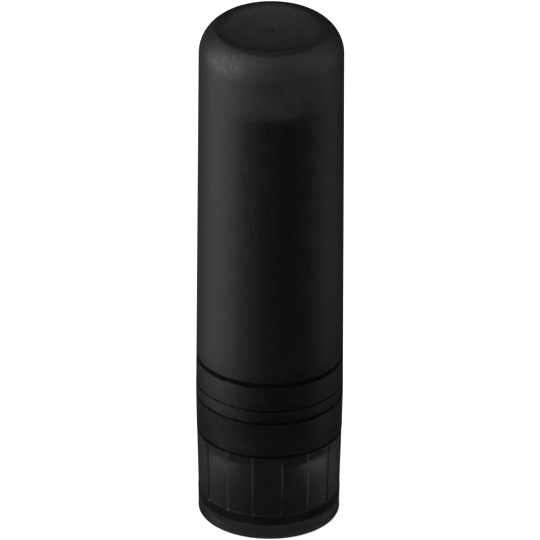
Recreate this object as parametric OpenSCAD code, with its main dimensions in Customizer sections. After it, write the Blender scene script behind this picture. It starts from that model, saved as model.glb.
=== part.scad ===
// Twist-up lip balm stick: domed cap, container, twist dial, screw, elevator and balm.
// Millimetres, +Z up, origin at the centre of the dial's foot.

/* [Cap] */
// Outer diameter of the cap at its rim
cap_d = 18.96; // [18.6:0.02:19.6]
// How much narrower the cap is where its shoulder starts
cap_draft = 0.28; // [0.04:0.02:0.5]
// Height of the cap from rim to crest
cap_h = 52.8; // [51:0.1:58]
// Wall of the cap
cap_wall = 1; // [0.8:0.05:1.2]
// Radius of the shoulder arc
shoulder_r = 4.42; // [4.2:0.02:4.8]
// Radius of the rounded crest round the dish
crest_r = 0.9; // [0.7:0.05:1.1]
// How far the crest round the dish lies inside the cap's side
crest_inset = 2.51; // [2.3:0.01:2.8]
// Depth of the dish below the crest
dish_depth = 0.3; // [0.2:0.02:0.6]
// Steepest slope of the dish, in degrees
dish_slope = 12; // [8:1:20]
// Diameter of the moulding gate's nub in the dish
nub_d = 0.46; // [0.3:0.02:0.6]
// Height of the nub above the dimple's floor
nub_h = 0.42; // [0.2:0.02:0.44]
// Diameter of the dimple round the nub
dimple_d = 1.2; // [0.9:0.05:1.6]
// Depth of the dimple
dimple_depth = 0.14; // [0.08:0.02:0.25]
// Height of the fine line above the rim, where the frosting ends
line_h = 1.8; // [1.2:0.1:2.6]
// Width of that line
line_w = 0.24; // [0.16:0.02:0.4]
// Depth of that line
line_depth = 0.08; // [0.04:0.01:0.15]

/* [Container] */
// Height of the collar between dial and cap
collar_h = 4.9; // [4:0.1:6]
// How much narrower the collar is where it meets the dial
collar_draft = 0.2; // [0:0.02:0.4]
// Height of the spigot that the cap is pushed over, with its cone
spigot_h = 5.2; // [4.6:0.1:6]
// Height of the cone between spigot and tube
cone_h = 0.9; // [0.5:0.05:1.2]
// How far the tube stands in from the spigot
tube_step = 0.43; // [0.3:0.01:0.6]
// How much narrower the tube is at its mouth
tube_taper = 0.3; // [0.1:0.05:0.5]
// Height of the tube above the spigot
tube_h = 37.9; // [37:0.1:39.5]
// Wall of the tube at the spigot
tube_wall = 1; // [0.8:0.05:1.2]
// Height of the neck that hangs inside the dial
neck_h = 1.9; // [1.6:0.05:2.2]
// How far the neck's recess for the screw's skirt stands out from the bore
recess_step = 0.5; // [0.4:0.01:0.56]
// Height of the bead that grips the cap
bead_h = 0.5; // [0.3:0.05:0.7]
// Height of that bead above the cap's rim
bead_rise = 2.4; // [2:0.1:3]
// How far that bead stands out
bead_out = 0.05; // [0.02:0.01:0.07]
// Number of guide ribs down the bore
rib_count = 4; // [2:1:6]
// Width of a guide rib
rib_w = 0.9; // [0.6:0.1:1.2]
// How far a guide rib stands into the bore
rib_out = 0.35; // [0.2:0.05:0.45]
// Distance from the mouth to the end of the guide ribs
rib_end = 2.4; // [1.5:0.1:4]

/* [Dial] */
// Height of the dial
dial_h = 12.16; // [11.5:0.02:14]
// How much narrower the dial is above its foot
dial_draft = 0.6; // [0.3:0.02:0.8]
// Wall of the dial
dial_wall = 1.14; // [1:0.02:1.2]
// Height of the hollow under the floor
foot_h = 1.6; // [1.2:0.1:2]
// Thickness of the floor
floor_t = 1.4; // [1:0.1:1.8]
// Wall of the foot
foot_wall = 1.2; // [1:0.05:1.6]
// How far the lip at the foot stands out
lip_out = 0.03; // [0.02:0.01:0.1]
// Height of that lip
lip_h = 0.8; // [0.6:0.05:1]
// Radius of the dial's heel
heel_r = 0.4; // [0.2:0.05:0.5]
// Number of grip grooves
groove_count = 16; // [12:2:20]
// Height of the grooves' lower end above the foot
groove_start = 3.4; // [3:0.1:4]
// Width of a grip groove
groove_w = 0.36; // [0.24:0.02:0.5]
// Depth of a grip groove
groove_depth = 0.17; // [0.1:0.01:0.25]
// Angle that the dial was left at, in degrees
dial_turn = 9.9; // [0:0.1:22.5]
// Outer diameter of the socket for the screw's hexagon
hub_d = 8.5; // [7.5:0.1:8.9]
// Height of that socket above the floor
hub_h = 5.8; // [4.5:0.1:6.2]

/* [Screw] */
// Diameter over the ridges of the thread
thread_d = 3.8; // [3.4:0.1:4.2]
// Diameter of the thread's core
core_d = 2.4; // [2:0.1:2.7]
// Lift of the elevator in one turn
lead = 6.4; // [5.6:0.1:7.2]
// Across the corners of the hexagon that drives the screw
hex_d = 5; // [4.4:0.1:5.4]
// Thickness of the screw's flange
flange_t = 1.1; // [0.9:0.1:1.4]
// Wall of the flange's skirt
skirt_wall = 1; // [0.8:0.05:1.2]
// Height of the flange's skirt
skirt_h = 2.35; // [2:0.05:2.8]
// Height of the skirt's snap bead
snap_h = 0.5; // [0.4:0.05:0.6]
// How far that bead stands out
snap_out = 0.16; // [0.1:0.01:0.2]
// Height of that bead above the skirt's end
snap_rise = 0.8; // [0.7:0.05:1.2]

/* [Elevator and balm] */
// Travel of the elevator from its lowest to its highest place
travel = 36.8; // [35:0.1:37]
// How far the elevator now stands above its lowest place
raised = 30.4; // [28:0.1:31]
// Height of the elevator's cup
cup_h = 5.5; // [4.5:0.1:6]
// Wall of the cup
cup_wall = 0.7; // [0.5:0.05:0.9]
// Thickness of the cup's floor
cup_floor = 1; // [0.8:0.1:1.4]
// Outer diameter of the nut in the cup
nut_d = 6.2; // [5.6:0.1:6.8]
// Height of the nut above the cup's floor
nut_h = 3.2; // [2.6:0.1:3.4]
// Diameter of a thread lug at its tip
lug_tip_d = 0.6; // [0.4:0.05:0.7]
// Diameter of a thread lug at its root
lug_root_d = 1.1; // [0.8:0.05:1.2]
// Room left under the cap when the balm is fully raised
balm_room = 1.3; // [0.6:0.1:1.6]
// Height of the dome on the balm
dome_h = 1.4; // [1:0.1:2]

/* [Fits] */
// Gap between cap rim and collar, and between collar and dial
seat_gap = 0.08; // [0.04:0.01:0.12]
// Radial gap between the cap and the spigot
cap_gap = 0.1; // [0.08:0.01:0.14]
// Radial gap between parts that turn in each other
turn_gap = 0.1; // [0.06:0.01:0.12]
// Gap round the elevator and the balm in the bore
slide_gap = 0.12; // [0.08:0.01:0.16]
// Gap between the screw's thread and the lugs
thread_gap = 0.16; // [0.12:0.01:0.2]
// Gap between pieces that are pressed or cast together
cast_gap = 0.03; // [0.02:0.01:0.05]

/* [Hidden] */
$fn = 96;
edge_r = 0.16;
mouth_edge_r = 0.3;
lap = 0.3;

// Radii
rim_r = cap_d / 2;
top_r = (cap_d - cap_draft) / 2;
cap_in_r = rim_r - cap_wall;
spigot_r = cap_in_r - cap_gap;
tube_r = spigot_r - tube_step;
mouth_r = tube_r - tube_taper / 2;
bore_r = tube_r - tube_wall;
dial_r = rim_r - collar_draft / 2;
foot_r = dial_r - dial_draft / 2;
dial_in_r = dial_r - dial_wall;
neck_r = dial_in_r - turn_gap;
recess_r = bore_r + recess_step;
skirt_r = recess_r - turn_gap;
flange_r = bore_r - turn_gap;
cup_r = bore_r - slide_gap;
balm_r = cup_r - cast_gap;
core_r = core_d / 2;
nut_bore_r = thread_d / 2 + thread_gap;

// Levels, from the foot up
floor_z = foot_h + floor_t;
collar_z = dial_h + seat_gap;
collar_top_z = collar_z + collar_h;
rim_z = collar_top_z + seat_gap;
spigot_top_z = collar_top_z + spigot_h;
mouth_z = spigot_top_z + tube_h;
crest_z = rim_z + cap_h;
dish_z = crest_z - dish_depth;

// The snap joint that holds screw and dial in the container
neck_z = collar_z - neck_h;
shoulder_z = neck_z + skirt_h;
snap_z = neck_z + snap_rise;
flange_z = shoulder_z - turn_gap;
flange_top_z = flange_z + flange_t;

// The elevator, and the balm that it carries
lowest_z = flange_top_z + turn_gap;
cup_z = lowest_z + raised;
cast_z = cup_z + cup_floor + cast_gap;
cup_rim_z = cup_z + cup_h + cast_gap;
balm_top_z = dish_z - cap_wall - balm_room - (travel - raised);
screw_top_z = lowest_z + travel + nut_h;

// Thread: slices in a turn, points round its section and how squarely its ridges stand
turn_slices = 16;
section_points = 16;
ridge_sharpness = 1.3;

// The cap's top: centres of its shoulder, crest and dish arcs in the plane of the profile
sweep = acos((shoulder_r - crest_inset) / (shoulder_r - crest_r));
crest_c = [top_r - crest_inset, crest_z - crest_r];
shoulder_c = crest_c - (shoulder_r - crest_r) * [cos(sweep), sin(sweep)];
dish_r = dish_depth / (1 - cos(dish_slope)) - crest_r;
dish_c = crest_c + (crest_r + dish_r) * [-sin(dish_slope), cos(dish_slope)];

// Points of an arc round c with radius r, from angle a to angle b in n steps
function arc(c, r, a, b, n) =
    [for (i = [0:n]) c + r * [cos(a + (b - a) * i / n), sin(a + (b - a) * i / n)]];

// Profile points of a half-round bead that stands out from a wall of radius r, upwards
function bead_points(r, z, h, out) =
    [for (a = [-90:15:90]) [r + out * cos(a), z + h / 2 * sin(a)]];

// Radius of the thread's section at angle a: two rounded ridges on a core
function thread_radius(a) =
    core_r + (thread_d / 2 - core_r) * min(1, max(0, 0.5 + ridge_sharpness * cos(2 * a)));

// Angle of the thread's section at height z: one turn in a lead, set so that screw and nut mesh
function thread_angle(z) = -360 * (z - cup_z) / lead;

module spin(points) {
    rotate_extrude() polygon(points);
}

// A ring that reaches from inside a wall out to a bead on it
module bead_ring(r, z, h, out) {
    spin([[r - lap, z - h / 2], each bead_points(r, z, h, out), [r - lap, z + h / 2]]);
}

// The guide ribs in the bore between two heights, or with a gap the notches that run on them
module guide_ribs(z0, z1, gap) {
    intersection() {
        for (i = [0:rib_count - 1])
            rotate(360 * (i + 0.5) / rib_count)
                translate([bore_r - rib_out - gap, -rib_w / 2 - gap, z0])
                    cube([rib_out + gap + lap, rib_w + 2 * gap, z1 - z0]);
        translate([0, 0, z0 - lap]) cylinder(r = bore_r + lap / 2, h = z1 - z0 + 2 * lap);
    }
}

module cap() {
    color([0.09, 0.09, 0.095])
    union() {
        difference() {
            spin([
                [cap_in_r, rim_z],
                each arc([rim_r - edge_r, rim_z + edge_r], edge_r, -90, 0, 4),
                [rim_r, rim_z + line_h - line_w / 2],
                [rim_r - line_depth, rim_z + line_h],
                [rim_r, rim_z + line_h + line_w / 2],
                each arc(shoulder_c, shoulder_r, 0, sweep, 14),
                each arc(crest_c, crest_r, sweep + 6, 84 + dish_slope, 8),
                each arc(dish_c, dish_r, -90 + dish_slope, -90, 8),
                [0, dish_z],
                [0, dish_z - cap_wall],
                [dish_c[0], dish_z - cap_wall],
                each arc(shoulder_c, shoulder_r - cap_wall, sweep, 0, 12)
            ]);
            translate([0, 0, dish_z - dimple_depth]) cylinder(d = dimple_d, h = dish_depth);
        }
        translate([0, 0, dish_z - dimple_depth - lap]) cylinder(d = nub_d, h = nub_h + lap);
    }
}

module container() {
    color([0.06, 0.06, 0.065])
    union() {
        difference() {
            union() {
                spin([
                    [0, neck_z],
                    [neck_r, neck_z],
                    [neck_r, collar_z],
                    each arc([dial_r - edge_r, collar_z + edge_r], edge_r, -90, 0, 4),
                    each arc([rim_r - edge_r, collar_top_z - edge_r], edge_r, 0, 90, 4),
                    [spigot_r, collar_top_z],
                    [spigot_r, spigot_top_z - cone_h],
                    [tube_r, spigot_top_z],
                    each arc([mouth_r - mouth_edge_r, mouth_z - mouth_edge_r], mouth_edge_r, 0, 90, 5),
                    [0, mouth_z]
                ]);
                bead_ring(spigot_r, rim_z + bead_rise, bead_h, bead_out);
            }
            translate([0, 0, neck_z - lap]) cylinder(r = bore_r, h = mouth_z - neck_z + 2 * lap);
            translate([0, 0, neck_z - lap]) cylinder(r = recess_r, h = skirt_h + lap);
            bead_ring(recess_r, snap_z, snap_h + 2 * turn_gap, snap_out);
        }
        guide_ribs(lowest_z, mouth_z - rib_end, 0);
    }
}

// One grip groove: a round-bottomed cut that leans with the dial's side
module groove() {
    lean = atan((dial_r - foot_r) / (dial_h - lip_h));
    side_r = foot_r + (groove_start - lip_h) * tan(lean);
    cut_r = (groove_w * groove_w / 4 + groove_depth * groove_depth) / (2 * groove_depth);
    translate([side_r + cut_r - groove_depth, 0, groove_start]) rotate([0, lean, 0])
        cylinder(r = cut_r, h = dial_h - groove_start + 1, $fn = 24);
}

module dial() {
    foot_in_r = foot_r - foot_wall;
    color([0.06, 0.06, 0.065])
    difference() {
        union() {
            spin([
                [foot_in_r, 0],
                each arc([foot_r + lip_out - heel_r, heel_r], heel_r, -90, 0, 6),
                [foot_r, lip_h],
                each arc([dial_r - edge_r, dial_h - edge_r], edge_r, 0, 90, 4),
                [dial_in_r, dial_h],
                [dial_in_r, floor_z],
                [0, floor_z],
                [0, foot_h],
                [foot_in_r, foot_h]
            ]);
            translate([0, 0, floor_z - lap]) cylinder(d = hub_d, h = hub_h + lap);
        }
        translate([0, 0, floor_z]) cylinder(r = hex_d / 2 + cast_gap, h = hub_h + 1, $fn = 6);
        for (i = [0:groove_count - 1])
            rotate(dial_turn + 360 * i / groove_count) groove();
    }
}

// The twin thread is left-handed, so the dial lifts the balm when it turns anticlockwise from above
module screw() {
    thread_z = flange_top_z - lap;
    thread_h = screw_top_z - thread_z;
    turns = thread_h / lead;
    section = [for (i = [0:section_points - 1]) let (a = 360 * i / section_points)
        thread_radius(a) * [cos(a), sin(a)]];
    color([0.16, 0.16, 0.17])
    union() {
        translate([0, 0, thread_z]) rotate(thread_angle(thread_z))
            linear_extrude(thread_h, twist = 360 * turns, slices = ceil(turns * turn_slices),
                $fn = section_points) polygon(section);
        spin([
            [0, flange_z],
            [skirt_r - skirt_wall, flange_z],
            [skirt_r - skirt_wall, neck_z],
            [skirt_r, neck_z],
            each bead_points(skirt_r, snap_z, snap_h, snap_out),
            [skirt_r, flange_z],
            [flange_r, flange_z],
            [flange_r, flange_top_z],
            [0, flange_top_z]
        ]);
        translate([0, 0, floor_z + cast_gap])
            cylinder(d = hex_d, h = flange_z + lap - floor_z - cast_gap, $fn = 6);
    }
}

// One lug of the nut: it stands into the valley between the screw's ridges
module lug(z, side) {
    tip_r = core_r + thread_gap;
    translate([0, 0, z]) rotate(thread_angle(z) + 90 * side) translate([tip_r, 0, 0]) rotate([0, 90, 0])
        cylinder(d1 = lug_tip_d, d2 = lug_root_d, h = nut_bore_r + lap - tip_r, $fn = 24);
}

module elevator() {
    lug_low_z = cup_z + lug_root_d;
    lug_high_z = cup_z + cup_floor + nut_h - lug_root_d;
    color([0.78, 0.78, 0.76])
    union() {
        difference() {
            union() {
                difference() {
                    translate([0, 0, cup_z]) cylinder(r = cup_r, h = cup_h);
                    translate([0, 0, cup_z + cup_floor]) cylinder(r = cup_r - cup_wall, h = cup_h);
                }
                translate([0, 0, cup_z]) cylinder(d = nut_d, h = cup_floor + nut_h);
            }
            translate([0, 0, cup_z - lap]) cylinder(r = nut_bore_r, h = cup_floor + nut_h + 2 * lap);
            guide_ribs(cup_z - lap, cup_z + cup_h + lap, slide_gap);
        }
        for (z = [lug_low_z, lug_high_z], side = [-1, 1])
            lug(z, side);
    }
}

module balm() {
    cast_r = cup_r - cup_wall - cast_gap;
    hole_r = thread_d / 2 + turn_gap;
    dome_r = (balm_r * balm_r + dome_h * dome_h) / (2 * dome_h);
    dome_a = asin(balm_r / dome_r);
    color([0.93, 0.88, 0.78])
    difference() {
        spin([
            [0, cast_z],
            [cast_r, cast_z],
            [cast_r, cup_rim_z],
            [balm_r, cup_rim_z],
            each arc([0, balm_top_z - dome_r], dome_r, 90 - dome_a, 90, 12)
        ]);
        translate([0, 0, cast_z - lap]) cylinder(r = nut_d / 2 + cast_gap, h = nut_h + lap);
        translate([0, 0, cast_z - lap]) cylinder(r = hole_r, h = balm_top_z - cast_z + 2 * lap);
        translate([0, 0, balm_top_z - lap]) cylinder(r1 = hole_r, r2 = hole_r + 2 * lap, h = 2 * lap);
        guide_ribs(cast_z - lap, balm_top_z + lap, slide_gap);
    }
}

cap();
container();
dial();
screw();
elevator();
balm();
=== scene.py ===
"""Twist-up lip balm stick: the looks of its pieces, its finishes, and a plain studio stage."""

import math

import bmesh
import bpy
from bpy.props import FloatProperty, FloatVectorProperty, IntProperty, PointerProperty
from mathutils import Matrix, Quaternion, Vector


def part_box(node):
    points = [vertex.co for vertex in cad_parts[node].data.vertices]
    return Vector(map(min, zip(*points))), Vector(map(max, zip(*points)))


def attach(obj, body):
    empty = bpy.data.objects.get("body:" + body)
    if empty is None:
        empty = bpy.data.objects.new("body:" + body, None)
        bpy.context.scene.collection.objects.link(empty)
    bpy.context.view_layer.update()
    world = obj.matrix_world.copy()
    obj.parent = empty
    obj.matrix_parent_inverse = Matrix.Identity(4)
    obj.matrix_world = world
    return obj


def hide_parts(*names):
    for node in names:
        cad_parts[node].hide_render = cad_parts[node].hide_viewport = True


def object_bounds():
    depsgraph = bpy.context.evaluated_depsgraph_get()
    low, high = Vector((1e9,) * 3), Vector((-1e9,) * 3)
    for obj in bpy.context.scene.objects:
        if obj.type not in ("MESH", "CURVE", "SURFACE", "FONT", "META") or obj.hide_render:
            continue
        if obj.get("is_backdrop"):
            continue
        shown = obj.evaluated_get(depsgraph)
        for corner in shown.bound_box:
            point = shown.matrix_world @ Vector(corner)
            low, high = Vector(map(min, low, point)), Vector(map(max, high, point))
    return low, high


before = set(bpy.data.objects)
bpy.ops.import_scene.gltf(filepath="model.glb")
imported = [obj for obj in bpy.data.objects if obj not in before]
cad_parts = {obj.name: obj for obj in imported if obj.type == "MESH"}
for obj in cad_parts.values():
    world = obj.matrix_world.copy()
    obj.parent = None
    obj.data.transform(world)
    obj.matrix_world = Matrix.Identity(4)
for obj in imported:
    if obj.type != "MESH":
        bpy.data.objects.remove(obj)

bl_info = {
    "name": "Lip balm stick",
    "version": (1, 0, 0),
    "blender": (4, 5, 0),
    "location": "View3D > Sidebar > Lip balm",
    "description": "Makes a twist-up lip balm stick round its packed construction",
    "category": "Add Mesh",
}

MM = 0.001
JOIN_DISTANCE = 0.002 * MM
SHARP_ANGLE = math.radians(32)
HAZE_GREY = 0.35
# Grey of the near-black matt that paints shade at the seams, the fine line and the ring
PAINTED_SHADE_GREY = 0.004

# Columns of faces round the bore, across half a groove and half a panel, and sides of a round card
BORE_COLUMNS = 224
GROOVE_COLUMNS = 9
PANEL_COLUMNS = 8
CARD_SIDES = 64

# How far the columns across a groove reach from its middle, in groove widths
GROOVE_REACH = 0.7

# Degrees between the last point of one arc and the first of the next, where they meet
ARC_STEP = 4

# How much the mould textures each kind of face, and how dark the painted shade of a seam makes it: a
# near-black matt mixed in at edges by the seams, in the fine line and on the ring
TEXTURE = {"frosted": 1.0, "hem": 0.7, "top": 0.6, "nub": 0.2, "satin": 1.0, "grooved": 1.0}
PAINTED_SEAM_SHADE = {"seam": 1.0, "grooved seam": 1.0, "ring": 0.9}

# How far from a piece's end the painted shade of its edge ends, in edge radii
PAINTED_SHADE_REACH = 1.5

# Section of the fine line: share of its half height, and of its depth
LINE_SECTION = ((-1, 0), (-0.4, 0.8), (0, 1), (0.4, 0.8), (1, 0))

# Section of the dimple: share of its radius and of its depth, and kind of face
DIMPLE_SECTION = ((1.15, 0, "top"), (1, 0.3, "frosted"), (0.8, 1, "frosted"))

# Soft lamps: azimuth from the camera's side and elevation in degrees, width, height and radiance
LAMPS = {
    "key": (-82, 4, 1.1, 1.0, 2.5),
    "shoulder": (-62, 38, 0.7, 0.7, 1.7),
    "front_wing": (-30, 10, 0.54, 0.9, 0.25),
    "right_fill": (96, 4, 1.0, 1.2, 0.4),
    "right_wing": (60, 25, 0.54, 0.54, 0.4),
    "top": (0, 90, 0.6, 0.6, 0.3),
    "back": (165, 66, 0.8, 0.7, 0.32),
}

# Levels and radii that the construction gives, in metres
CAD_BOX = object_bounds()
RIM_Z, CREST_Z = (corner.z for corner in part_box("cap"))
NECK_Z, MOUTH_Z = (corner.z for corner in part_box("container"))
DIAL_TOP_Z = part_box("dial")[1].z
SCREW_Z, SCREW_TOP_Z = (corner.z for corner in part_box("screw"))
CUP_Z, CUP_TOP_Z = (corner.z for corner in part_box("elevator"))
CAST_Z, BALM_TOP_Z = (corner.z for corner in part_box("balm"))
RIM_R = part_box("cap")[1].x
CUP_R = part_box("elevator")[1].x


# Sizes and colours that can be changed


def length(name, description, millimetres):
    """A length that can be changed, given in millimetres."""
    return FloatProperty(
        name=name, description=description, default=millimetres * MM, min=0, precision=5,
        subtype="DISTANCE", unit="LENGTH",
    )


def angle(name, description, degrees):
    """An angle that can be changed, given in degrees."""
    return FloatProperty(
        name=name, description=description, default=math.radians(degrees), subtype="ANGLE", unit="ROTATION",
    )


def share(name, description, value, most=1.0):
    """A number without a unit that can be changed."""
    return FloatProperty(name=name, description=description, default=value, min=0, max=most, precision=4)


def count(name, description, value, least):
    """A whole number that can be changed."""
    return IntProperty(name=name, description=description, default=value, min=least)


def colour(name, description, value):
    """A linear colour that can be changed."""
    return FloatVectorProperty(
        name=name, description=description, default=value, size=3, min=0, max=1, subtype="COLOR",
    )


class FitSizes(bpy.types.PropertyGroup):
    seat_gap: length("Seat gap", "Gap between cap and collar, and between collar and dial", 0.08)
    cap_gap: length("Cap gap", "Radial gap between cap and spigot", 0.1)
    turn_gap: length("Turning gap", "Radial gap between pieces that turn in each other", 0.1)
    slide_gap: length("Sliding gap", "Gap round the elevator and the balm in the bore", 0.12)
    cast_gap: length("Cast gap", "Gap between pieces that are pressed or cast together", 0.03)
    edge: length("Edge radius", "Radius of the moulded outer edges", 0.11)
    inner_edge: length("Inner edge radius", "Radius of the moulded inner edges", 0.1)


class CapSizes(bpy.types.PropertyGroup):
    wall: length("Wall", "Wall of the cap", 1.0)
    draft: length("Draft", "How much narrower the cap is where its shoulder starts", 0.28)
    shoulder: length("Shoulder radius", "Radius of the shoulder arc", 4.42)
    crest: length("Crest radius", "Radius of the rounded crest round the dish", 0.9)
    crest_inset: length("Crest inset", "How far the crest lies inside the cap's side", 2.51)
    crest_flat: length("Crest flat", "Width of the level top of the crest", 0.36)
    lip: length("Lip radius", "Radius of the crest's inner edge", 0.25)
    dish_depth: length("Dish depth", "Depth of the dish below the crest", 0.5)
    dish_slope: angle("Dish slope", "Steepest slope of the dish", 27)
    dimple: length("Dimple radius", "Radius of the dimple round the gate's nub", 0.6)
    dimple_depth: length("Dimple depth", "Depth of the dimple", 0.14)
    nub: length("Nub radius", "Radius of the gate's nub", 0.23)
    nub_height: length("Nub height", "Height of the nub above the dimple", 0.42)
    line_height: length("Line height", "Height of the fine line above the rim", 1.8)
    line_width: length("Line width", "Width of the fine line", 0.24)
    line_depth: length("Line depth", "Depth of the fine line", 0.08)
    hem: length("Hem", "Height above the rim at which the frosting starts", 5.95)
    ring: length("Ring", "Height of the polished ring under the frosting", 0.85)
    columns: count("Columns", "Columns of faces round the cap", 224, 48)


class ContainerSizes(bpy.types.PropertyGroup):
    collar_draft: length("Collar draft", "How much narrower the collar is where it meets the dial", 0.2)
    spigot: length("Spigot height", "Height of the spigot under the cap, with its cone", 5.2)
    cone: length("Cone height", "Height of the cone between spigot and tube", 0.9)
    tube_step: length("Tube step", "How far the tube stands in from the spigot", 0.43)
    tube_taper: length("Tube taper", "How much narrower the tube is at its mouth", 0.3)
    tube_wall: length("Tube wall", "Wall of the tube", 1.0)
    mouth_edge: length("Mouth edge", "Radius of the mouth's outer edge", 0.3)
    recess_step: length("Recess step", "How far the neck's recess stands out from the bore", 0.5)
    bead_rise: length("Bead rise", "Height of the cap's bead above the cap's rim", 2.4)
    bead_height: length("Bead height", "Height of that bead", 0.5)
    bead_out: length("Bead reach", "How far that bead stands out", 0.05)
    rib_width: length("Rib width", "Width of a guide rib", 0.9)
    rib_out: length("Rib reach", "How far a guide rib stands into the bore", 0.35)
    rib_end: length("Rib end", "Distance from the mouth to the ends of the guide ribs", 2.4)
    rib_count: count("Ribs", "Number of guide ribs", 4, 1)


class DialSizes(bpy.types.PropertyGroup):
    wall: length("Wall", "Wall of the dial", 1.14)
    draft: length("Draft", "How much narrower the dial is above its foot", 0.6)
    foot: length("Foot height", "Height of the hollow under the floor", 1.6)
    floor: length("Floor", "Thickness of the floor", 1.4)
    foot_wall: length("Foot wall", "Wall of the foot", 1.2)
    lip_out: length("Lip reach", "How far the lip at the foot stands out", 0.03)
    lip: length("Lip height", "Height of that lip", 0.8)
    heel: length("Heel radius", "Radius of the heel", 0.4)
    groove_start: length("Groove start", "Height of the grooves' lower ends above the foot", 3.4)
    groove_run: length("Groove run-out", "Length over which a groove runs out at its lower end", 0.3)
    groove_width: length("Groove width", "Width of a grip groove", 0.36)
    groove_depth: length("Groove depth", "Depth of a grip groove", 0.17)
    turn: angle("Turn", "Angle that the dial was left at", 9.9)
    flatness: share("Panel flatness", "How far the panels between the grooves are flattened", 0.3)
    hub: length("Hub radius", "Radius of the socket for the screw's hexagon", 4.25)
    hub_height: length("Hub height", "Height of that socket above the floor", 5.8)
    groove_count: count("Grooves", "Number of grip grooves", 16, 4)


class ScrewSizes(bpy.types.PropertyGroup):
    ridge: length("Ridge radius", "Radius over the ridges of the thread", 1.9)
    core: length("Core radius", "Radius of the thread's core", 1.2)
    lead: length("Lead", "Lift of the elevator in one turn", 6.4)
    sharpness: share("Ridge sharpness", "How squarely the ridges stand", 1.3, 4.0)
    hexagon: length("Hexagon radius", "Radius over the corners of the hexagon", 2.5)
    flange: length("Flange thickness", "Thickness of the flange", 1.1)
    skirt_wall: length("Skirt wall", "Wall of the flange's skirt", 1.0)
    skirt: length("Skirt height", "Height of the recess for the skirt", 2.35)
    snap_height: length("Snap bead height", "Height of the snap bead", 0.5)
    snap_out: length("Snap bead reach", "How far the snap bead stands out", 0.16)
    snap_rise: length("Snap bead rise", "Height of the snap bead above the skirt's end", 0.8)
    columns: count("Columns", "Columns of faces round the screw", 96, 24)
    rows_per_turn: count("Rows a turn", "Rows of faces in one turn", 40, 12)


class BalmSizes(bpy.types.PropertyGroup):
    cup_wall: length("Cup wall", "Wall of the elevator's cup", 0.7)
    nut: length("Nut radius", "Radius of the nut in the cup", 3.1)
    nut_height: length("Nut height", "Height of the nut above the cup's floor", 3.2)
    dome: length("Dome", "Height of the dome on the balm", 1.4)
    edge: length("Edge radius", "Radius of the balm's worn edges", 0.25)


class Finishes(bpy.types.PropertyGroup):
    frosted: colour("Frosted plastic", "Light that a frosted wall's faces let through", (0.21, 0.21, 0.213))
    tinted: colour("Tinted plastic", "Light that a satin wall's faces let through", (0.24, 0.24, 0.243))
    inner: colour("Inner plastic", "Colour of the screw", (0.14, 0.14, 0.143))
    natural: colour("Natural plastic", "Colour of the elevator", (0.78, 0.78, 0.74))
    wax: colour("Balm", "Colour of the balm", (0.8, 0.77, 0.69))
    frost: share("Frost", "Roughness of the frosted finish", 0.57)
    polish: share("Polish", "Roughness of the polished finish", 0.17)
    satin: share("Satin", "Roughness of the satin finish", 0.31)
    grain: length("Grain", "Width of the grains of the frosted finish", 0.28)
    grain_depth: length("Grain depth", "Depth of the grains", 0.03)
    speckle: share("Speckle", "How much the roughness differs from grain to grain", 0.3)
    index: share("Refractive index", "Refractive index of the plastic", 1.5, 3.0)
    # Painted shade: share of a near-black matt mixed in at the seams' edges, the fine line and the ring
    seam: share("Seam", "How dark the edges in the shade of the seams are", 0.9)
    haze: share("Haze", "Share of pale haze in the tinted plastic", 0.01)
    cap_density: share("Cap density", "Light lost in a metre of the frosted plastic", 330, 5000)
    density: share("Density", "Light lost in a metre of the tinted plastic", 200, 5000)


class StageSizes(bpy.types.PropertyGroup):
    elevation: angle("Elevation", "Angle of the camera above the horizon", 28.4)
    roll: angle("Roll", "Roll of the camera about its line of sight", 0.33)
    field: length("Field", "Width that the picture shows at the middle of the stick", 69.41)
    aim_height: length("Aim height", "Height on the stick that the camera looks at", 34.65)
    aim_side: length("Aim side", "How far beside the axis the camera looks", 0.026)
    lens: FloatProperty(name="Lens", description="Focal length in millimetres", default=1500, min=50)
    floor: length("Floor", "Width of the floor", 3000)
    room: share("Room", "Radiance of the dim room that the plastic mirrors", 0.03)
    ambient: share("Ambient", "Radiance of the surround, as matt faces receive it", 0.35)
    table: share("Table", "Radiance of the table under the stick, as its inner faces mirror it", 0.17)
    beyond: share("Beyond", "Radiance of what lies behind the stick, as seen right through it", 1.3, 4.0)
    flag: length("Flag radius", "Radius of the dark card that the plastic mirrors low down", 80)
    flag_level: length("Flag depth", "Depth of that card under the floor", 0.5)
    # Painted shadow: a dim glowing card where the floor lies in the foot's shade, which only light crossing
    # the plastic sees
    under: length("Under radius", "Radius of the card that shows through the foot", 7.7)
    under_level: length("Under level", "Height of that card above the floor", 0.01)
    painted_foot_shadow_glow: share("Under glow", "Radiance of that card", 0.05)
    paper_glow: share("Paper glow", "How much the floor glows by itself", 0.75)


class StickSettings(bpy.types.PropertyGroup):
    fits: PointerProperty(type=FitSizes)
    cap: PointerProperty(type=CapSizes)
    container: PointerProperty(type=ContainerSizes)
    dial: PointerProperty(type=DialSizes)
    screw: PointerProperty(type=ScrewSizes)
    balm: PointerProperty(type=BalmSizes)
    finishes: PointerProperty(type=Finishes)
    stage: PointerProperty(type=StageSizes)


def settings():
    """The stick's settings in the scene."""
    return bpy.context.scene.stick


def spigot_radius():
    """Radius of the spigot under the cap."""
    return RIM_R - settings().cap.wall - settings().fits.cap_gap


def bore_radius():
    """Radius of the tube's bore."""
    return spigot_radius() - settings().container.tube_step - settings().container.tube_wall


def dial_radius():
    """Radius of the dial and of the collar's lower edge, where they meet."""
    return RIM_R - settings().container.collar_draft / 2


def clamped(value):
    """A number kept from 0 to 1."""
    return min(1.0, max(0.0, value))


# Outlines: points of radius, height and kind, anticlockwise round the solid


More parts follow.
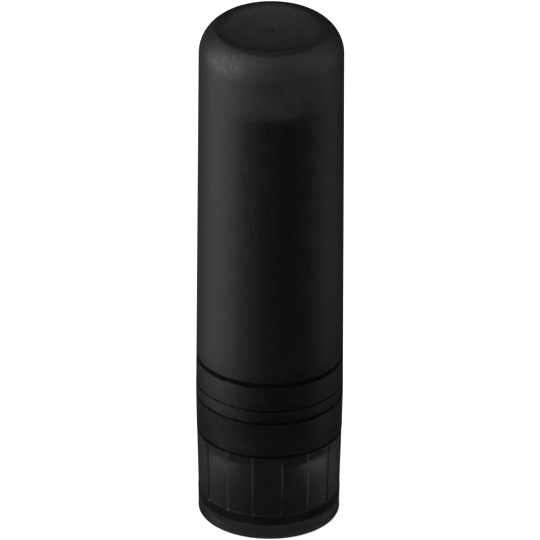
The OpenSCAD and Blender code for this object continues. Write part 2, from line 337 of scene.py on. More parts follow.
def arc(centre, radius, start, end, steps, kind=""):
    """Outline points along an arc, from one angle in degrees to another."""
    points = []
    for i in range(steps + 1):
        a = math.radians(start + (end - start) * i / steps)
        points.append((centre[0] + radius * math.cos(a), centre[1] + radius * math.sin(a), kind))
    return points


def heel(radius, level, soft, steps, kind=""):
    """Outline points of a rounded outer edge at the bottom of a piece."""
    return arc((radius - soft, level + soft), soft, -90, 0, steps, kind)


def brow(radius, level, soft, steps, kind=""):
    """Outline points of a rounded outer edge at the top of a piece."""
    return arc((radius - soft, level - soft), soft, 0, 90, steps, kind)


def bead(radius, middle, height, reach, steps=10):
    """Outline points of a half-round bead that stands out from a wall, upwards."""
    points = []
    for i in range(steps + 1):
        a = math.radians(-90 + 180 * i / steps)
        points.append((radius + reach * math.cos(a), middle + height / 2 * math.sin(a), ""))
    return points


def turned(name, outline, angles, whole=True, closed=True, shape=None):
    """A mesh object turned from an outline about Z.

    angles are those of the columns. A whole turn joins its last column to its first. shape may change
    the radius of a point, given its radius, height, kind and angle. The attribute "textured" says how
    much the mould textures the face at each point, and "seam" how much painted shade darkens it at a seam.
    """
    vertices, rings, kinds = [], [], []
    for radius, height, kind in outline:
        first = len(vertices)
        for a in angles if radius else angles[:1]:
            r = shape(radius, height, kind, a) if shape and radius else radius
            vertices.append((r * math.cos(a), r * math.sin(a), height))
            kinds.append(kind)
        rings.append(list(range(first, len(vertices))) if radius else [first] * len(angles))
    columns = len(angles) if whole else len(angles) - 1
    faces = []
    for low, high in zip(rings, rings[1:] + rings[:1] if closed else rings[1:]):
        for j in range(columns):
            k = (j + 1) % len(angles)
            corners = dict.fromkeys([low[j], low[k], high[k], high[j]])
            if len(corners) > 2:
                faces.append(list(corners))
    mesh = bpy.data.meshes.new(name)
    mesh.from_pydata(vertices, [], faces)
    for attribute, amounts in (("textured", TEXTURE), ("seam", PAINTED_SEAM_SHADE)):
        values = mesh.attributes.new(attribute, "FLOAT", "POINT")
        values.data.foreach_set("value", [amounts.get(kind, 0.0) for kind in kinds])
    mesh.update()
    piece = bpy.data.objects.new(name, mesh)
    bpy.context.scene.collection.objects.link(piece)
    return piece


def even_angles(columns):
    """Angles of columns spread evenly over a whole turn."""
    return [math.tau * i / columns for i in range(columns)]


def sector_angles(fine, copies, steps):
    """Angles of a sector: fine ones, given for one side of its middle, and coarse steps beyond."""
    half, last = math.pi / copies, fine[-1]
    side = fine + [last + (half - last) * i / steps for i in range(1, steps + 1)]
    return [-a for a in reversed(side[1:])] + side


# Node trees


class Number:
    """A number in a node tree, on which Python's arithmetic adds Math nodes."""

    def __init__(self, nodes, source):
        self.nodes, self.source = nodes, source

    def __add__(self, other):
        return self.nodes.math("ADD", self, other)

    def __sub__(self, other):
        return self.nodes.math("SUBTRACT", self, other)

    def __rsub__(self, other):
        return self.nodes.math("SUBTRACT", other, self)

    def __mul__(self, other):
        return self.nodes.math("MULTIPLY", self, other)

    def __truediv__(self, other):
        return self.nodes.math("DIVIDE", self, other)

    def __rtruediv__(self, other):
        return self.nodes.math("DIVIDE", other, self)

    __radd__, __rmul__ = __add__, __mul__


class Nodes:
    """A node tree, and the one method that adds a node to it."""

    def __init__(self, tree):
        self.tree = tree
        tree.nodes.clear()

    def add(self, kind, sockets=None, **options):
        """Adds a node with its settings, then the values or links of its sockets."""
        node = self.tree.nodes.new(kind)
        for name, value in options.items():
            setattr(node, name, value)
        for name, value in (sockets or {}).items():
            self.feed(node.inputs[name], value)
        return node

    def math(self, operation, *values):
        """A number that a Math node works out."""
        return Number(self, self.add("ShaderNodeMath", dict(enumerate(values)), operation=operation))

    def feed(self, socket, value):
        """Gives a socket a value, or a link from a number, a socket or a node's first output."""
        if isinstance(value, Number):
            value = value.source
        if isinstance(value, bpy.types.Node):
            value = value.outputs[0]
        if isinstance(value, bpy.types.NodeSocket):
            self.tree.links.new(value, socket)
        else:
            socket.default_value = value


class Recipe(Nodes):
    """A Geometry Nodes tree that makes a piece from a part of it, with an input for each value."""

    def __init__(self, name, values):
        super().__init__(bpy.data.node_groups.new(name, "GeometryNodeTree"))
        self.values = {**values, "Join distance": JOIN_DISTANCE}
        kinds = {key: "Int" if isinstance(value, int) else "Float" for key, value in self.values.items()}
        face = self.tree.interface
        for socket, kind in {"Part": "Geometry", **kinds, "Finish": "Material"}.items():
            face.new_socket(name=socket, in_out="INPUT", socket_type="NodeSocket" + kind)
        face.new_socket(name="Piece", in_out="OUTPUT", socket_type="NodeSocketGeometry")
        self.given = self.add("NodeGroupInput").outputs

    def number(self, name):
        """The number that a named input gives."""
        return Number(self, self.given[name])

    def finish(self, geometry):
        """Ends the tree: real copies, joined where they meet, with their finish."""
        real = self.add("GeometryNodeRealizeInstances", {"Geometry": geometry})
        whole = self.add(
            "GeometryNodeMergeByDistance", {"Geometry": real, "Distance": self.given["Join distance"]},
        )
        coated = self.add("GeometryNodeSetMaterial", {"Geometry": whole, "Material": self.given["Finish"]})
        self.add("NodeGroupOutput", {0: coated})

    def make(self, piece, finish):
        """Runs the tree on a part and keeps the result as a plain mesh."""
        values = {**self.values, "Finish": finish}
        modifier = piece.modifiers.new(self.tree.name, "NODES")
        modifier.node_group = self.tree
        for item in self.tree.interface.items_tree:
            if item.name in values:
                modifier[item.identifier] = values[item.name]
        seen = piece.evaluated_get(bpy.context.evaluated_depsgraph_get())
        mesh = bpy.data.meshes.new_from_object(seen)
        piece.modifiers.remove(modifier)
        piece.data = mesh
        return piece


def ring_of(sector, copies, first, finish):
    """A piece made of copies of a sector round the axis."""
    recipe = Recipe("Sectors round the axis", {"Copies": copies, "First angle": first})
    points = recipe.add("GeometryNodePoints", {"Count": recipe.given["Copies"]})
    index = Number(recipe, recipe.add("GeometryNodeInputIndex"))
    turn = index * math.tau / recipe.number("Copies") + recipe.number("First angle")
    angles = recipe.add("ShaderNodeCombineXYZ", {"Z": turn})
    rotation = recipe.add("FunctionNodeEulerToRotation", {"Euler": angles})
    recipe.finish(recipe.add(
        "GeometryNodeInstanceOnPoints",
        {"Points": points, "Instance": recipe.given["Part"], "Rotation": rotation},
    ))
    return recipe.make(sector, finish)


def threaded(base, bottom, finish):
    """The screw: its body, and a rounded section of two ridges twisted along the axis above it."""
    size = settings().screw
    height = SCREW_TOP_Z - bottom
    recipe = Recipe("Twin thread", {
        "Core radius": size.core, "Ridge radius": size.ridge, "Sharpness": size.sharpness,
        "Lead": size.lead, "Level": CUP_Z, "Bottom": bottom, "Height": height,
        "Columns": size.columns + 1, "Rows": round(height / size.lead * size.rows_per_turn) + 1,
    })
    given, number = recipe.given, recipe.number
    grid = recipe.add(
        "GeometryNodeMeshGrid",
        {"Size X": 1.0, "Size Y": 1.0, "Vertices X": given["Columns"], "Vertices Y": given["Rows"]},
    )
    place = recipe.add("ShaderNodeSeparateXYZ", {"Vector": recipe.add("GeometryNodeInputPosition")})
    around = (Number(recipe, place.outputs["X"]) + 0.5) * math.tau
    up = (Number(recipe, place.outputs["Y"]) + 0.5) * number("Height") + number("Bottom")
    twist = (up - number("Level")) / number("Lead") * math.tau
    rise = recipe.math("COSINE", (around + twist) * 2.0) * number("Sharpness") + 0.5
    ridge = recipe.math("MINIMUM", recipe.math("MAXIMUM", rise, 0.0), 1.0)
    radius = number("Core radius") + (number("Ridge radius") - number("Core radius")) * ridge
    spot = {"X": radius * recipe.math("COSINE", around), "Y": radius * recipe.math("SINE", around), "Z": up}
    wound = recipe.add(
        "GeometryNodeSetPosition", {"Geometry": grid, "Position": recipe.add("ShaderNodeCombineXYZ", spot)},
    )
    both = recipe.add("GeometryNodeJoinGeometry")
    for part in (given["Part"], wound):
        recipe.feed(both.inputs[0], part)
    recipe.finish(both)
    return recipe.make(base, finish)


def joined(piece, *others):
    """Adds other objects' meshes to a piece, joins them where they meet and closes what is left open."""
    work = bmesh.new()
    for part in (piece, *others):
        work.from_mesh(part.data)
    for other in others:
        bpy.data.objects.remove(other)
    bmesh.ops.remove_doubles(work, verts=work.verts, dist=JOIN_DISTANCE)
    bmesh.ops.holes_fill(work, edges=[edge for edge in work.edges if edge.is_boundary], sides=0)
    work.to_mesh(piece.data)
    work.free()
    return piece


def placed(piece, node, body, finish):
    """Shades a piece, gives it its finish and puts it in the place of a construction node."""
    mesh = piece.data
    mesh.shade_smooth()
    mesh.set_sharp_from_angle(angle=SHARP_ANGLE)
    mesh.materials.clear()
    mesh.materials.append(finish)
    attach(piece, body)
    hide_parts(node)


# Finishes


class Shader(Nodes):
    """The node tree of a material or a world."""

    def __init__(self, owner):
        owner.use_nodes = True
        super().__init__(owner.node_tree)

    def noise(self, grain, detail=2.0, roughness=0.5, stretch=(1, 1, 1)):
        """Noise from 0 to 1 on stretched Object coordinates, with spots about grain metres wide."""
        place = self.add("ShaderNodeTexCoord").outputs["Object"]
        sockets = {
            "Vector": self.add("ShaderNodeMapping", {"Vector": place, "Scale": stretch}),
            "Scale": 1 / grain, "Detail": detail, "Roughness": roughness,
        }
        return Number(self, self.add("ShaderNodeTexNoise", sockets).outputs["Fac"])

    def attribute(self, name):
        """A number that the mesh keeps at its points."""
        return Number(self, self.add("ShaderNodeAttribute", attribute_name=name).outputs["Fac"])

    def varied(self, factor, colour_value, least, most):
        """A colour that varies from least to most times itself."""
        ends = [(*(min(1.0, part * times) for part in colour_value), 1) for times in (least, most)]
        node = self.add("ShaderNodeMix", {0: factor, 6: ends[0], 7: ends[1]}, data_type="RGBA")
        return node.outputs[2]

    def spread(self, noise, middle, width):
        """A number that noise spreads over a width round its middle."""
        return noise * width + (middle - width / 2)

    def bump(self, height, distance):
        """A normal from a height of 0 to 1 over a distance in metres."""
        return self.add("ShaderNodeBump", {"Height": height, "Distance": distance}).outputs[0]

    def mixed(self, factor, node, grey):
        """A shader mixed with a matt grey."""
        matt = self.add("ShaderNodeBsdfDiffuse", {"Color": (grey, grey, grey, 1)})
        return self.add("ShaderNodeMixShader", {0: factor, 1: node, 2: matt})

    def surface(self, sockets, seam=None, density=0, haze=0):
        """A Principled shader that reaches the output, with painted shade, a near-black matt, mixed in where
        seam is 1.

        density is the light lost per metre inside, and haze the share of pale haze in the plastic.
        """
        node = self.add("ShaderNodeBsdfPrincipled", sockets)
        if haze:
            node = self.mixed(haze, node, HAZE_GREY)
        if seam:
            node = self.mixed(seam, node, PAINTED_SHADE_GREY)
        ends = {"Surface": node}
        if density:
            loss = {"Color": (0, 0, 0, 1), "Density": density}
            ends["Volume"] = self.add("ShaderNodeVolumeAbsorption", loss)
        self.add("ShaderNodeOutputMaterial", ends)


def new_finish(name):
    """A new material, and its shader."""
    material = bpy.data.materials.new(name)
    return material, Shader(material)


def frosted_plastic():
    """Translucent dark plastic: spark-eroded frost outside, polished inside and below the fine line."""
    look = settings().finishes
    material, shader = new_finish("frosted_moulding")
    frost = shader.attribute("textured")
    cloud = shader.noise(2.2 * MM, 3.0)
    grain = shader.noise(look.grain, 2.0, 0.65)
    speck = (grain - 0.5) * 4.0
    frosted = shader.spread(cloud, look.frost, 0.05) + speck * look.speckle
    polished = shader.spread(grain, look.polish + 0.04, 0.08)
    # Painted shade at the rim's edge, the fine line and the ring: a near-black matt mixed in by the seam
    # attribute
    shader.surface({
        "Base Color": shader.varied(cloud + speck * 0.8, look.frosted, 0.85, 1.15),
        "Roughness": frost * frosted + (1 - frost) * polished,
        "IOR": look.index,
        "Transmission Weight": 1.0,
        "Normal": shader.bump(grain * frost, look.grain_depth),
    }, shader.attribute("seam") * look.seam, look.cap_density)
    return material


def tinted_plastic():
    """Translucent dark plastic, satin outside and polished inside. Container and dial share it."""
    look = settings().finishes
    material = bpy.data.materials.get("tinted_moulding")
    if material:
        return material
    material, shader = new_finish("tinted_moulding")
    satin = shader.attribute("textured")
    flow = shader.noise(3.0 * MM, 2.0, 0.5, (1, 1, 0.35))
    grain = shader.noise(look.grain, 3.0, 0.6)
    rubbed = shader.spread(flow, look.satin, 0.06)
    polished = shader.spread(grain, look.polish + 0.03, 0.06)
    # Painted shade at the edges by the seams: a near-black matt mixed in by the seam attribute
    shader.surface({
        "Base Color": shader.varied(flow, look.tinted, 0.94, 1.06),
        "Roughness": satin * rubbed + (1 - satin) * polished,
        "IOR": look.index,
        "Transmission Weight": 1.0,
        "Normal": shader.bump(flow + grain * satin * 0.3, 0.008 * MM),
    }, shader.attribute("seam") * look.seam, look.density, look.haze)
    return material


def inner_plastic():
    """Dark satin plastic of the screw, with faint marks along the mould."""
    look = settings().finishes
    material, shader = new_finish("screw_moulding")
    marks = shader.noise(0.4 * MM, 3.0, 0.6, (1, 1, 0.2))
    shader.surface({
        "Base Color": shader.varied(marks, look.inner, 0.85, 1.2),
        "Roughness": shader.spread(marks, 0.32, 0.12),
        "IOR": look.index,
        "Normal": shader.bump(marks, 0.004 * MM),
    })
    return material


def natural_plastic():
    """Unpigmented satin plastic of the elevator."""
    look = settings().finishes
    material, shader = new_finish("elevator_moulding")
    cloud = shader.noise(1.6 * MM, 3.0)
    grain = shader.noise(0.15 * MM, 2.0)
    shader.surface({
        "Base Color": shader.varied(cloud, look.natural, 0.94, 1.04),
        "Roughness": shader.spread(grain, 0.39, 0.1),
        "IOR": look.index,
        "Subsurface Weight": 0.25,
        "Subsurface Radius": (1.0, 0.95, 0.85),
        "Subsurface Scale": 0.8 * MM,
        "Normal": shader.bump(grain, 0.003 * MM),
    })
    return material


def balm_wax():
    """Pale wax: faintly mottled, with a soft bloom and shallow pour ripples."""
    look = settings().finishes
    material, shader = new_finish("poured_balm")
    mottle = shader.noise(1.1 * MM, 4.0, 0.62)
    ripple = shader.noise(2.6 * MM, 2.0, 0.4, (1, 1, 0.5))
    bloom = shader.noise(0.2 * MM, 3.0)
    shader.surface({
        "Base Color": shader.varied(mottle, look.wax, 0.93, 1.06),
        "Roughness": shader.spread(bloom, 0.44, 0.16),
        "IOR": 1.44,
        "Subsurface Weight": 0.55,
        "Subsurface Radius": (1.0, 0.8, 0.5),
        "Subsurface Scale": 1.2 * MM,
        "Normal": shader.bump(ripple * 0.8 + bloom * 0.2, 0.05 * MM),
    })
    return material


# Pieces


def cap_outline():
    """The cap's outline: rim, side with its fine line, shoulder, crest, dish with the gate, and inside."""
    size, fit = settings().cap, settings().fits
    line_z = RIM_Z + size.line_height
    half_line = size.line_width / 2
    hem_z = RIM_Z + size.hem
    top_r = RIM_R - size.draft / 2
    inner_r = RIM_R - size.wall
    sweep = math.acos((size.shoulder - size.crest_inset) / (size.shoulder - size.crest))
    crest_c = Vector((top_r - size.crest_inset, CREST_Z - size.crest))
    shoulder_c = crest_c - (size.shoulder - size.crest) * Vector((math.cos(sweep), math.sin(sweep)))
    hem_r = RIM_R - size.draft / 2 * (hem_z - line_z) / (shoulder_c[1] - line_z)
    dish_z = CREST_Z - size.dish_depth
    lip_c = Vector((crest_c[0] - size.crest_flat, CREST_Z - size.lip))
    dish_r = size.dish_depth / (1 - math.cos(size.dish_slope)) - size.lip
    dish_c = lip_c + (size.lip + dish_r) * Vector((-math.sin(size.dish_slope), math.cos(size.dish_slope)))
    turn, slope = math.degrees(sweep), math.degrees(size.dish_slope)
    dimple_z = dish_z - size.dimple_depth
    nub_z = dimple_z + size.nub_height
    ceiling_z = dish_z - size.wall
    return [
        (inner_r, RIM_Z + fit.inner_edge, ""),
        (inner_r + fit.inner_edge, RIM_Z, ""),
        # The rim's edge, the fine line and the ring get painted shade
        *heel(RIM_R, RIM_Z, fit.edge, 6, "seam"),
        (RIM_R, RIM_Z + PAINTED_SHADE_REACH * fit.edge, "hem"),
        (RIM_R, line_z - PAINTED_SHADE_REACH * half_line, "hem"),
        *((RIM_R - size.line_depth * deep, line_z + half_line * up, "seam") for up, deep in LINE_SECTION),
        (RIM_R, line_z + PAINTED_SHADE_REACH * half_line, "hem"),
        (hem_r, hem_z - size.ring, "hem"),
        (hem_r, hem_z - size.ring + fit.edge, "ring"),
        (hem_r, hem_z - fit.edge, "ring"),
        (hem_r, hem_z, "frosted"),
        *arc(shoulder_c, size.shoulder, 0, turn, 22, "frosted"),
        *arc(crest_c, size.crest, turn + ARC_STEP, 90, 10, "top"),
        *arc(lip_c, size.lip, 90, 90 + slope, 6, "top"),
        *arc(dish_c, dish_r, -90 + slope, -90, 12, "top"),
        *((size.dimple * out, dish_z - size.dimple_depth * deep, kind) for out, deep, kind in DIMPLE_SECTION),
        (size.nub, dimple_z, "nub"),
        *brow(size.nub, nub_z, size.nub / 2, 5, "nub"),
        (0, nub_z, "nub"),
        (0, ceiling_z, ""),
        (dish_c[0], ceiling_z, ""),
        *arc(shoulder_c, size.shoulder - size.wall, turn, 0, 20),
    ]


def container_outline():
    """The container's outline: neck, collar, spigot with bead and cone, tube, and the ribbed bore."""
    size, fit, screw = settings().container, settings().fits, settings().screw
    dial_r = dial_radius()
    neck_r = dial_r - settings().dial.wall - fit.turn_gap
    collar_z = DIAL_TOP_Z + fit.seat_gap
    collar_top_z = RIM_Z - fit.seat_gap
    spigot_r = spigot_radius()
    tube_r = spigot_r - size.tube_step
    mouth_r = tube_r - size.tube_taper / 2
    bore_r = bore_radius()
    recess_r = bore_r + size.recess_step
    spigot_top_z = collar_top_z + size.spigot
    shoulder_z = NECK_Z + screw.skirt
    rib_z = shoulder_z + screw.flange
    rib_top_z = MOUTH_Z - size.rib_end
    snap_z = NECK_Z + screw.snap_rise
    soft = fit.inner_edge
    return [
        *heel(neck_r, NECK_Z, soft, 4),
        (neck_r, collar_z - soft, ""),
        (neck_r + soft, collar_z, ""),
        # The collar's edges by the seams get painted shade
        *heel(dial_r, collar_z, fit.edge, 6, "seam"),
        (dial_r, collar_z + PAINTED_SHADE_REACH * fit.edge, "satin"),
        (RIM_R, collar_top_z - PAINTED_SHADE_REACH * fit.edge, "satin"),
        *brow(RIM_R, collar_top_z, fit.edge, 6, "seam"),
        (spigot_r + soft, collar_top_z, ""),
        (spigot_r, collar_top_z + soft, ""),
        *bead(spigot_r, RIM_Z + size.bead_rise, size.bead_height, size.bead_out),
        (spigot_r, spigot_top_z - size.cone, ""),
        (tube_r, spigot_top_z, "satin"),
        *brow(mouth_r, MOUTH_Z, size.mouth_edge, 8, "satin"),
        (bore_r + soft, MOUTH_Z, ""),
        (bore_r, MOUTH_Z - soft, ""),
        (bore_r, rib_top_z, ""),
        (bore_r, rib_top_z, "ribbed"),
        (bore_r, rib_z, "ribbed"),
        (bore_r, rib_z, ""),
        (bore_r, shoulder_z, ""),
        (recess_r, shoulder_z, ""),
        *reversed(bead(recess_r, snap_z, screw.snap_height + 2 * fit.turn_gap, screw.snap_out)),
        (recess_r, NECK_Z, ""),
    ]


def box_profile(a, radius, half_width, soft):
    """1 on a rib or notch at angle 0 and 0 beside it, with sides that are soft metres wide."""
    across = abs(radius * math.sin(a))
    return clamped((half_width + soft - across) / soft)


def rib_angles(radius, half_width, soft, copies):
    """Column angles for a sector with one rib or notch at its middle."""
    inner = math.asin(half_width / radius)
    outer = math.asin((half_width + soft) / radius)
    fine = [0, inner / 3, 2 * inner / 3, inner, outer]
    return sector_angles(fine, copies, BORE_COLUMNS // 2 // copies)


def dial_outline():
    """The dial's outline from the floor's underside over foot and side to the floor's upper face."""
    size, fit = settings().dial, settings().fits
    dial_r = dial_radius()
    foot_r = dial_r - size.draft / 2
    inner_r = dial_r - size.wall
    foot_in_r = foot_r - size.foot_wall
    floor_z = size.foot + size.floor
    soft = fit.inner_edge
    edge_z = DIAL_TOP_Z - fit.edge
    levels = [size.lip, size.groove_start]
    levels += [size.groove_start + size.groove_run * i / 6 for i in range(1, 7)]
    levels += [edge_z - size.groove_run, edge_z - size.groove_run / 2, DIAL_TOP_Z - PAINTED_SHADE_REACH * fit.edge]
    slope = (dial_r - foot_r) / (edge_z - size.lip)
    return [
        (0, size.foot, ""),
        (foot_in_r - soft, size.foot, ""),
        (foot_in_r, size.foot - soft, ""),
        (foot_in_r, soft, ""),
        (foot_in_r + soft, 0, ""),
        *heel(foot_r + size.lip_out, 0, size.heel, 8, "satin"),
        *((foot_r + slope * (z - size.lip), z, "grooved") for z in levels),
        # The top edge gets painted shade
        *brow(dial_r, DIAL_TOP_Z, fit.edge, 6, "grooved seam"),
        (inner_r + soft, DIAL_TOP_Z, ""),
        (inner_r, DIAL_TOP_Z - soft, ""),
        (inner_r, floor_z + 2 * soft, ""),
        (inner_r - 2 * soft, floor_z, ""),
        (size.hub, floor_z, ""),
    ]


def grooved_radius(radius, height, kind, a):
    """The dial's radius at an angle from the middle of a groove."""
    size = settings().dial
    if not kind.startswith("grooved"):
        return radius
    half = math.pi / size.groove_count
    run = clamped((height - size.groove_start) / size.groove_run)
    run = run * run * (3 - 2 * run)
    top = clamped((DIAL_TOP_Z - height) / (2 * size.groove_run))
    flat = size.flatness * run * top
    radius *= 1 - flat * (1 - math.cos(half) / math.cos(half - abs(a)))
    across = radius * math.sin(a) / (size.groove_width / 2)
    cut = size.groove_depth * (1 - across * across)
    softness = 0.03 * MM
    return radius - run * (cut + math.sqrt(cut * cut + softness * softness)) / 2


def hexagon_radius(corner_r, a):
    """Radius at angle a of a hexagon that has a corner at angle 0."""
    beside = (a % math.radians(60)) - math.radians(30)
    return corner_r * math.cos(math.radians(30)) / math.cos(beside)


def screw_thread_radius(a, height):
    """Radius of the thread's section at an angle and a height."""
    size = settings().screw
    twist = math.tau * (height - CUP_Z) / size.lead
    ridge = clamped(0.5 + size.sharpness * math.cos(2 * (a + twist)))
    return size.core + (size.ridge - size.core) * ridge


class STICK_OT_cap(bpy.types.Operator):
    """Makes the frosted cap"""

    bl_idname = "stick.cap"
    bl_label = "Cap"

    def execute(self, context):
        piece = turned("cap_shell", cap_outline(), even_angles(settings().cap.columns))
        placed(piece, "cap", "cap", frosted_plastic())
        return {"FINISHED"}


class STICK_OT_container(bpy.types.Operator):
    """Makes the satin container: neck, collar, spigot and ribbed tube"""

    bl_idname = "stick.container"
    bl_label = "Container"

    def execute(self, context):
        size = settings().container
        finish = tinted_plastic()
        soft = 0.05 * MM

        def ribbed(radius, height, kind, a):
            if kind != "ribbed":
                return radius
            return radius - size.rib_out * box_profile(a, radius, size.rib_width / 2, soft)

        angles = rib_angles(bore_radius(), size.rib_width / 2, soft, size.rib_count)
        sector = turned("container_shell", container_outline(), angles, whole=False, shape=ribbed)
        piece = ring_of(sector, size.rib_count, math.pi / size.rib_count, finish)
        placed(piece, "container", "container", finish)
        return {"FINISHED"}


class STICK_OT_dial(bpy.types.Operator):
    """Makes the grooved dial with its foot and the socket on its floor"""

    bl_idname = "stick.dial"
    bl_label = "Dial"

    def execute(self, context):
        size, fit = settings().dial, settings().fits
        finish = tinted_plastic()
        groove_a = GROOVE_REACH * size.groove_width / dial_radius()
        fine = [groove_a * i / GROOVE_COLUMNS for i in range(GROOVE_COLUMNS + 1)]
        angles = sector_angles(fine, size.groove_count, PANEL_COLUMNS)
        sector = turned(
            "dial_shell", dial_outline(), angles, whole=False, closed=False, shape=grooved_radius,
        )
        step = math.tau / size.groove_count
        all_angles = [size.turn + i * step + a for i in range(size.groove_count) for a in angles[:-1]]
        piece = ring_of(sector, size.groove_count, size.turn, finish)
        floor_z = size.foot + size.floor
        hub_top_z = floor_z + size.hub_height

        def socket(radius, height, kind, a):
            if kind != "hexagon":
                return radius
            return hexagon_radius(settings().screw.hexagon + fit.cast_gap, a)

        hub = turned(
            "hub",
            [
                (size.hub, floor_z, ""),
                *brow(size.hub, hub_top_z, fit.edge, 4),
                (size.hub / 2, hub_top_z, "hexagon"),
                (size.hub / 2, floor_z, "hexagon"),
                (0, floor_z, ""),
            ],
            all_angles, closed=False, shape=socket,
        )
        placed(joined(piece, hub), "dial", "dial", finish)
        return {"FINISHED"}


class STICK_OT_screw(bpy.types.Operator):
    """Makes the screw: twin thread, flange, snap skirt and driving hexagon"""

    bl_idname = "stick.screw"
    bl_label = "Screw"

    def execute(self, context):
        size, fit = settings().screw, settings().fits
        finish = inner_plastic()
        bore_r = bore_radius()
        skirt_r = bore_r + settings().container.recess_step - fit.turn_gap
        skirt_in_r = skirt_r - size.skirt_wall
        flange_r = bore_r - fit.turn_gap
        flange_z = NECK_Z + size.skirt - fit.turn_gap
        flange_top_z = flange_z + size.flange

        def section(radius, height, kind, a):
            if kind == "hexagon":
                return hexagon_radius(size.hexagon, a)
            if kind == "thread":
                return screw_thread_radius(a, height)
            return radius

        base = turned(
            "screw_body",
            [
                (0, SCREW_Z, ""),
                (size.hexagon, SCREW_Z, "hexagon"),
                (size.hexagon, flange_z, "hexagon"),
                (skirt_in_r, flange_z, ""),
                (skirt_in_r, NECK_Z, ""),
                (skirt_r, NECK_Z, ""),
                *bead(skirt_r, NECK_Z + size.snap_rise, size.snap_height, size.snap_out),
                (skirt_r, flange_z, ""),
                (flange_r, flange_z, ""),
                (flange_r, flange_top_z, ""),
                (size.core, flange_top_z, "thread"),
            ],
            even_angles(size.columns), closed=False, shape=section,
        )
        piece = joined(threaded(base, flange_top_z, finish))
        placed(piece, "screw", "dial", finish)
        return {"FINISHED"}


class STICK_OT_elevator(bpy.types.Operator):
    """Gives the elevator its natural plastic"""

    bl_idname = "stick.elevator"
    bl_label = "Elevator"

    def execute(self, context):
        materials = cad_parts["elevator"].data.materials
        materials.clear()
        materials.append(natural_plastic())
        return {"FINISHED"}


class STICK_OT_balm(bpy.types.Operator):
    """Makes the balm, cast in the elevator's cup and notched by the guide ribs"""

    bl_idname = "stick.balm"
    bl_label = "Balm"

    def execute(self, context):
        size, fit = settings().balm, settings().fits
        container, screw = settings().container, settings().screw
        finish = balm_wax()
        balm_r = CUP_R - fit.cast_gap
        cast_r = CUP_R - size.cup_wall - fit.cast_gap
        socket_r = size.nut + fit.cast_gap
        socket_z = CAST_Z + size.nut_height
        hole_r = screw.ridge + fit.turn_gap
        step_z = CUP_TOP_Z + fit.cast_gap
        dome_r = (balm_r * balm_r + size.dome * size.dome) / (2 * size.dome)
        dome_z = BALM_TOP_Z - dome_r
        end_a = math.degrees(math.acos((balm_r - size.edge) / dome_r))
        notch_r = balm_r + fit.cast_gap - container.rib_out
        soft = 0.08 * MM
        half_width = container.rib_width / 2 + fit.slide_gap

        def notched(radius, height, kind, a):
            if kind != "notched" or radius < notch_r:
                return radius
            return radius + (notch_r - radius) * box_profile(a, radius, half_width, soft)

        outline = [
            (socket_r, CAST_Z, ""),
            (cast_r, CAST_Z, ""),
            (cast_r, step_z, ""),
            (balm_r, step_z, "notched"),
            (balm_r, BALM_TOP_Z - size.dome - size.edge, "notched"),
            *arc((0, dome_z), dome_r, end_a, 80, 14, "notched"),
            (hole_r + fit.edge, dome_z + math.sqrt(dome_r ** 2 - (hole_r + fit.edge) ** 2), ""),
            (hole_r, BALM_TOP_Z - fit.edge - size.edge, ""),
            (hole_r, socket_z, ""),
            (socket_r, socket_z, ""),
        ]
        angles = rib_angles(balm_r, half_width, soft, container.rib_count)
        sector = turned("balm_stick", outline, angles, whole=False, shape=notched)
        piece = ring_of(sector, container.rib_count, math.pi / container.rib_count, finish)
        placed(piece, "balm", "elevator", finish)
        return {"FINISHED"}


# Stage


def softbox(name, azimuth, elevation, width, height, radiance):
    """An area light a metre from the stick that faces it. Azimuth 0 is the camera's side."""
    data = bpy.data.lights.new(name, "AREA")
    data.shape = "RECTANGLE"
    data.size, data.size_y = width, height
    data.energy = radiance * math.pi * width * height
    lamp = bpy.data.objects.new(name, data)
    around, above = math.radians(azimuth), math.radians(elevation)
    side = Vector((math.sin(around), -math.cos(around), 0))
    towards = side * math.cos(above) + Vector((0, 0, math.sin(above)))
    lamp.location = towards + Vector((0, 0, settings().stage.aim_height))
    lamp.rotation_mode = "QUATERNION"
    lamp.rotation_quaternion = (-towards).to_track_quat("-Z", "Y")
    lamp.visible_camera = False
    bpy.context.scene.collection.objects.link(lamp)


def studio_world():
    """A surround that is white behind the stick. The plastic mirrors a dim room and a pale table."""
    size = settings().stage
    world = bpy.data.worlds.new("studio")
    world.cycles.sampling_method = "NONE"
    shader = Shader(world)
    path = shader.add("ShaderNodeLightPath").outputs
    direction = shader.add("ShaderNodeTexCoord").outputs["Generated"]
    height = shader.add("ShaderNodeSeparateXYZ", {"Vector": direction}).outputs["Z"]
    crossings = path["Transmission Depth"]
    camera = Number(shader, path["Is Camera Ray"])
    matt = Number(shader, path["Is Diffuse Ray"])
    # Rays that have crossed four faces or more have gone right through the hollow stick
    right_through = shader.math("GREATER_THAN", crossings, 3.5)
    inside = shader.math("GREATER_THAN", crossings, 0.5) - right_through
    table = inside * shader.math("LESS_THAN", height, 0.0)
    other = right_through * (size.beyond - size.room) + table * (size.table - size.room) + size.room
    strength = (1 - camera - matt) * other + camera + matt * size.ambient
    light = shader.add("ShaderNodeBackground", {"Color": (1, 1, 1, 1), "Strength": strength})
    shader.add("ShaderNodeOutputWorld", {"Surface": light})
    bpy.context.scene.world = world


def sheet_of(name, corners, material):
    """A flat face of the stage."""
    mesh = bpy.data.meshes.new(name)
    mesh.from_pydata(corners, [], [range(len(corners))])
    mesh.materials.append(material)
    piece = bpy.data.objects.new(name, mesh)
    bpy.context.scene.collection.objects.link(piece)
    piece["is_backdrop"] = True
    return piece


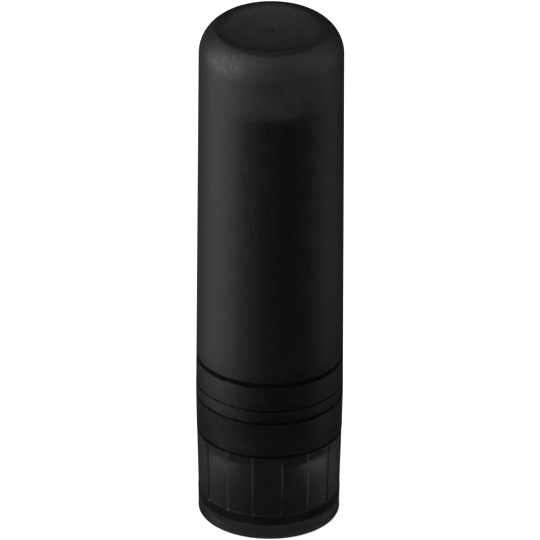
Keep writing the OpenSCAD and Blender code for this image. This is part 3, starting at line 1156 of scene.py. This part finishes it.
def card(name, radius, level, radiance):
    """A round card that glows a little: a dim card for what the plastic mirrors low down, or painted shadow
    for what it shows under the foot.
    """
    material, shader = new_finish(name)
    glow = shader.add("ShaderNodeEmission", {"Strength": radiance})
    shader.add("ShaderNodeOutputMaterial", {"Surface": glow})
    rim = [(radius * math.cos(a), radius * math.sin(a), level) for a in even_angles(CARD_SIDES)]
    piece = sheet_of(name, rim, material)
    piece.visible_camera = piece.visible_diffuse = False
    return piece


def floor_paper():
    """Pale paper with a faint tooth."""
    material, shader = new_finish("floor_paper")
    shader.surface({
        "Base Color": shader.varied(shader.noise(0.6 * MM, 3.0), (1, 1, 1), 0.93, 0.97),
        "Roughness": 0.9,
        "Emission Color": (1, 1, 1, 1),
        "Emission Strength": settings().stage.paper_glow,
    })
    return material


class STICK_OT_stage(bpy.types.Operator):
    """Makes the floor, the soft lights, the surround and the camera"""

    bl_idname = "stick.stage"
    bl_label = "Stage"

    def execute(self, context):
        size = settings().stage
        scene = context.scene
        scene.view_settings.view_transform = "Standard"
        half = size.floor / 2
        corners = [(-half, -half, 0), (half, -half, 0), (half, half, 0), (-half, half, 0)]
        ground = sheet_of("floor", corners, floor_paper())
        ground.visible_diffuse = ground.visible_glossy = False
        ground.visible_transmission = ground.visible_shadow = False
        studio_world()
        flag = card("table_flag", size.flag, -size.flag_level, size.room)
        flag.visible_transmission = False
        # Painted shadow under the foot, seen only through the plastic
        under = card("painted_foot_shadow", size.under, size.under_level, size.painted_foot_shadow_glow)
        under.visible_glossy = under.visible_shadow = False
        for name, values in LAMPS.items():
            softbox(name, *values)
        scene.camera = self.camera(size)
        return {"FINISHED"}

    def camera(self, size):
        """The camera, on the side that the photograph looks from."""
        data = bpy.data.cameras.new("camera")
        data.sensor_width = 36
        data.lens = size.lens
        distance = size.field * size.lens / data.sensor_width
        data.clip_start, data.clip_end = distance / 10, distance * 3
        camera = bpy.data.objects.new("camera", data)
        back = Vector((0, -math.cos(size.elevation), math.sin(size.elevation)))
        aim = Vector((-size.aim_side, 0, size.aim_height))
        camera.location = aim + back * distance
        camera.rotation_mode = "QUATERNION"
        roll = Quaternion((0, 0, 1), size.roll)
        camera.rotation_quaternion = (-back).to_track_quat("-Z", "Y") @ roll
        bpy.context.scene.collection.objects.link(camera)
        return camera


PIECES = (
    STICK_OT_cap, STICK_OT_container, STICK_OT_dial, STICK_OT_screw, STICK_OT_elevator, STICK_OT_balm,
    STICK_OT_stage,
)


class STICK_PT_panel(bpy.types.Panel):
    """Lists the stick's pieces and sizes"""

    bl_idname = "STICK_PT_panel"
    bl_label = "Lip balm stick"
    bl_space_type = "VIEW_3D"
    bl_region_type = "UI"
    bl_category = "Lip balm"

    def draw(self, context):
        for operator in PIECES:
            self.layout.operator(operator.bl_idname)
        for group_name in StickSettings.__annotations__:
            group = getattr(context.scene.stick, group_name)
            box = self.layout.box()
            box.label(text=group_name.capitalize())
            for name in type(group).__annotations__:
                box.prop(group, name)


CLASSES = (
    FitSizes, CapSizes, ContainerSizes, DialSizes, ScrewSizes, BalmSizes, Finishes, StageSizes,
    StickSettings, *PIECES, STICK_PT_panel,
)


def register():
    for item in CLASSES:
        bpy.utils.register_class(item)
    bpy.types.Scene.stick = PointerProperty(type=StickSettings)


def unregister():
    del bpy.types.Scene.stick
    for item in reversed(CLASSES):
        bpy.utils.unregister_class(item)


def main():
    """Makes every piece and the stage."""
    register()
    bpy.ops.stick.stage()
    bpy.ops.stick.cap()
    bpy.ops.stick.container()
    bpy.ops.stick.dial()
    bpy.ops.stick.screw()
    bpy.ops.stick.elevator()
    bpy.ops.stick.balm()
    boxes = {"cad": CAD_BOX, "visual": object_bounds()}
    boxes = {name: [list(corner) for corner in corners] for name, corners in boxes.items()}


if __name__ == "__main__":
    main()
